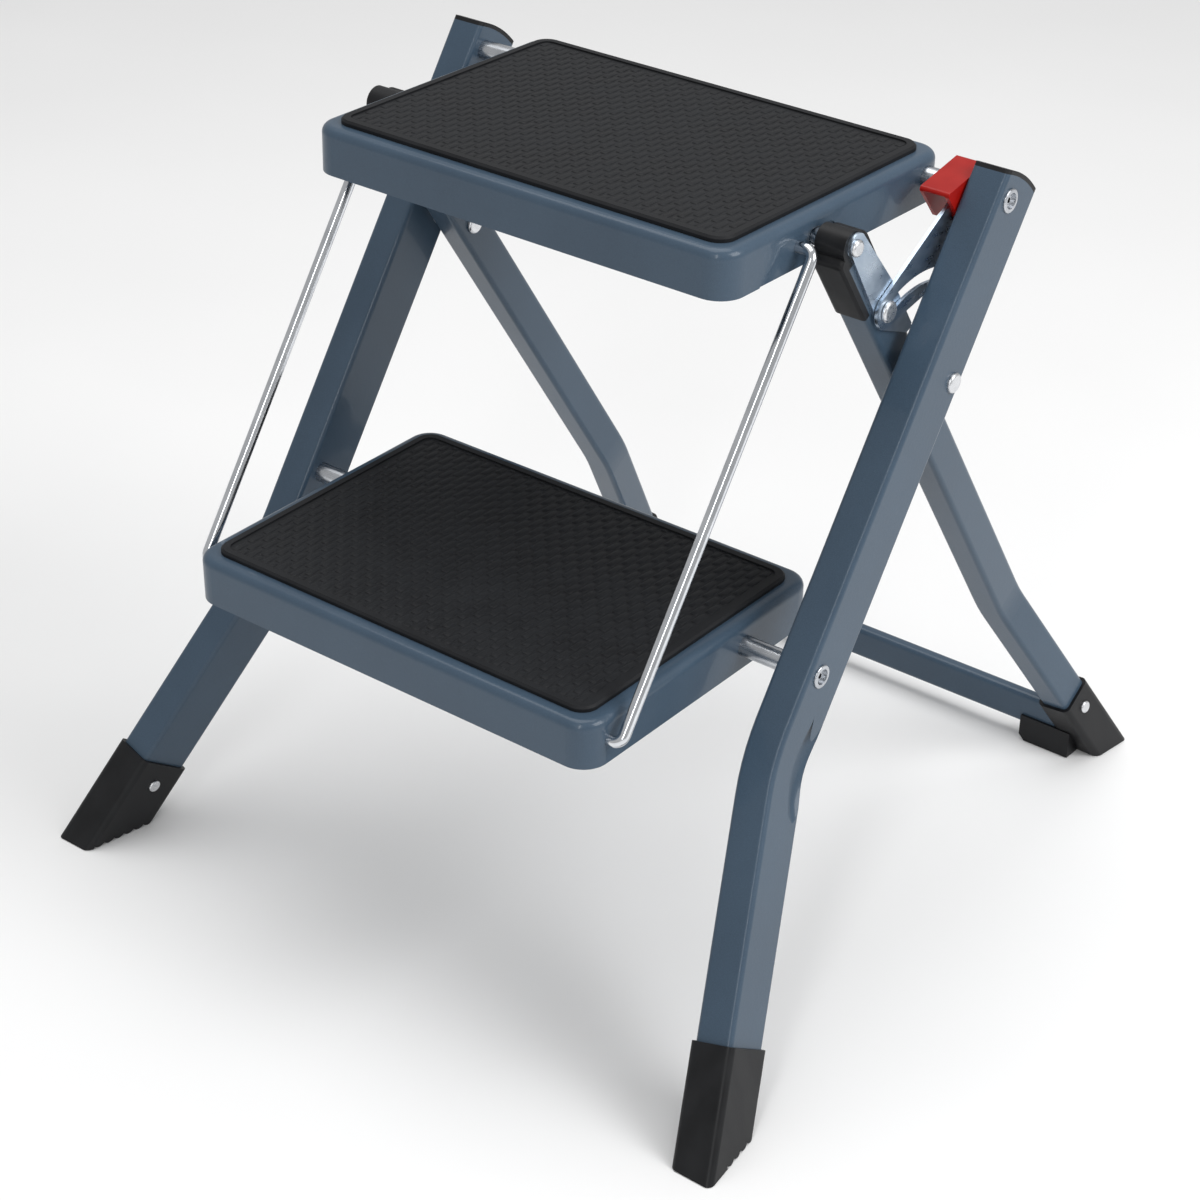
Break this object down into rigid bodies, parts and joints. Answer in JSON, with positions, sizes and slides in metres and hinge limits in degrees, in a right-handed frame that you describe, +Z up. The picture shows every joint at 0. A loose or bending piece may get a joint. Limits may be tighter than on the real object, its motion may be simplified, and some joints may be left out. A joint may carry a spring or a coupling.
{
  "type": "step stool",
  "caption": "Folding step stool with two matted steel treads on a scissor tube frame, parallel link rods and a slotted lock arm with a red handle.",
  "frame": {"origin": "on the floor, centre of the bounding box seen from above", "axes": "+Z up, +X to the user's right when climbing, +Y away from the user"},
  "size_m": [0.4984, 0.529, 0.4563],
  "materials": {
    "powder_coat": "glossy blue-grey powder coat",
    "black_plastic": "satin black moulded plastic",
    "mat_rubber": "matte black rubber with woven pattern",
    "shaft_steel": "bare bright steel",
    "rod_chrome": "bright chrome plating",
    "zinc_plate": "bluish zinc plating, lightly brushed",
    "red_plastic": "red moulded plastic",
    "rivet_metal": "plain rivet metal"
  },
  "bodies": {
    "front_frame": {"front_leg_left": "powder_coat", "front_leg_right": "powder_coat", "front_leg_plug_left": "black_plastic", "front_leg_plug_right": "black_plastic", "front_foot_left": "black_plastic", "front_foot_right": "black_plastic", "front_foot_rivets": "rivet_metal", "upper_shaft": "shaft_steel", "lower_shaft": "shaft_steel", "scissor_rivets": "rivet_metal", "scissor_spacers": "rivet_metal"},
    "rear_frame": {"rear_leg_left": "powder_coat", "rear_leg_right": "powder_coat", "rear_crossbar": "powder_coat", "rear_foot_left": "black_plastic", "rear_foot_right": "black_plastic", "rear_foot_rivets": "rivet_metal", "rear_leg_cap_left": "black_plastic", "rear_leg_cap_right": "black_plastic", "support_rod": "rod_chrome", "lock_bracket": "zinc_plate", "bracket_rivet": "rivet_metal", "lock_pin": "rivet_metal"},
    "top_step": {"upper_tray": "powder_coat", "upper_mat": "mat_rubber"},
    "lower_step": {"lower_tray": "powder_coat", "lower_mat": "mat_rubber"},
    "link_left": {"link_rod_left": "rod_chrome"},
    "link_right": {"link_rod_right": "rod_chrome"},
    "lock_lever": {"lock_arm": "zinc_plate", "lock_handle": "red_plastic"}
  },
  "joints": [
    {"name": "fold", "type": "hinge", "parent": "front_frame", "child": "rear_frame", "pos_m": [0, 0.00501, 0.34814], "axis": [-1, 0, 0], "range_deg": [0, 36]},
    {"name": "top_step_tilt", "type": "hinge", "parent": "front_frame", "child": "top_step", "pos_m": [0, 0.0459, 0.4387], "axis": [-1, 0, 0], "range_deg": [0, 79.2]},
    {"name": "lower_step_tilt", "type": "hinge", "parent": "front_frame", "child": "lower_step", "pos_m": [0, -0.10352, 0.2155], "axis": [-1, 0, 0], "range_deg": [0, 79.2]},
    {"name": "link_left_swing", "type": "hinge", "parent": "top_step", "child": "link_left", "pos_m": [0, -0.0721, 0.4357], "axis": [-1, 0, 0], "range_deg": [-79.2, 0]},
    {"name": "link_right_swing", "type": "hinge", "parent": "top_step", "child": "link_right", "pos_m": [0, -0.0721, 0.4357], "axis": [-1, 0, 0], "range_deg": [-79.2, 0]},
    {"name": "lock_lever_turn", "type": "hinge", "parent": "front_frame", "child": "lock_lever", "pos_m": [0, 0.0459, 0.4387], "axis": [-1, 0, 0], "range_deg": [0, 2.16]}
  ],
  "couplings": [
    {"joint": "top_step_tilt", "follows": "fold", "ratio": 2.2},
    {"joint": "lower_step_tilt", "follows": "fold", "ratio": 2.2},
    {"joint": "link_left_swing", "follows": "fold", "ratio": -2.2},
    {"joint": "link_right_swing", "follows": "fold", "ratio": -2.2},
    {"joint": "lock_lever_turn", "follows": "fold", "ratio": 0.06}
  ]
}
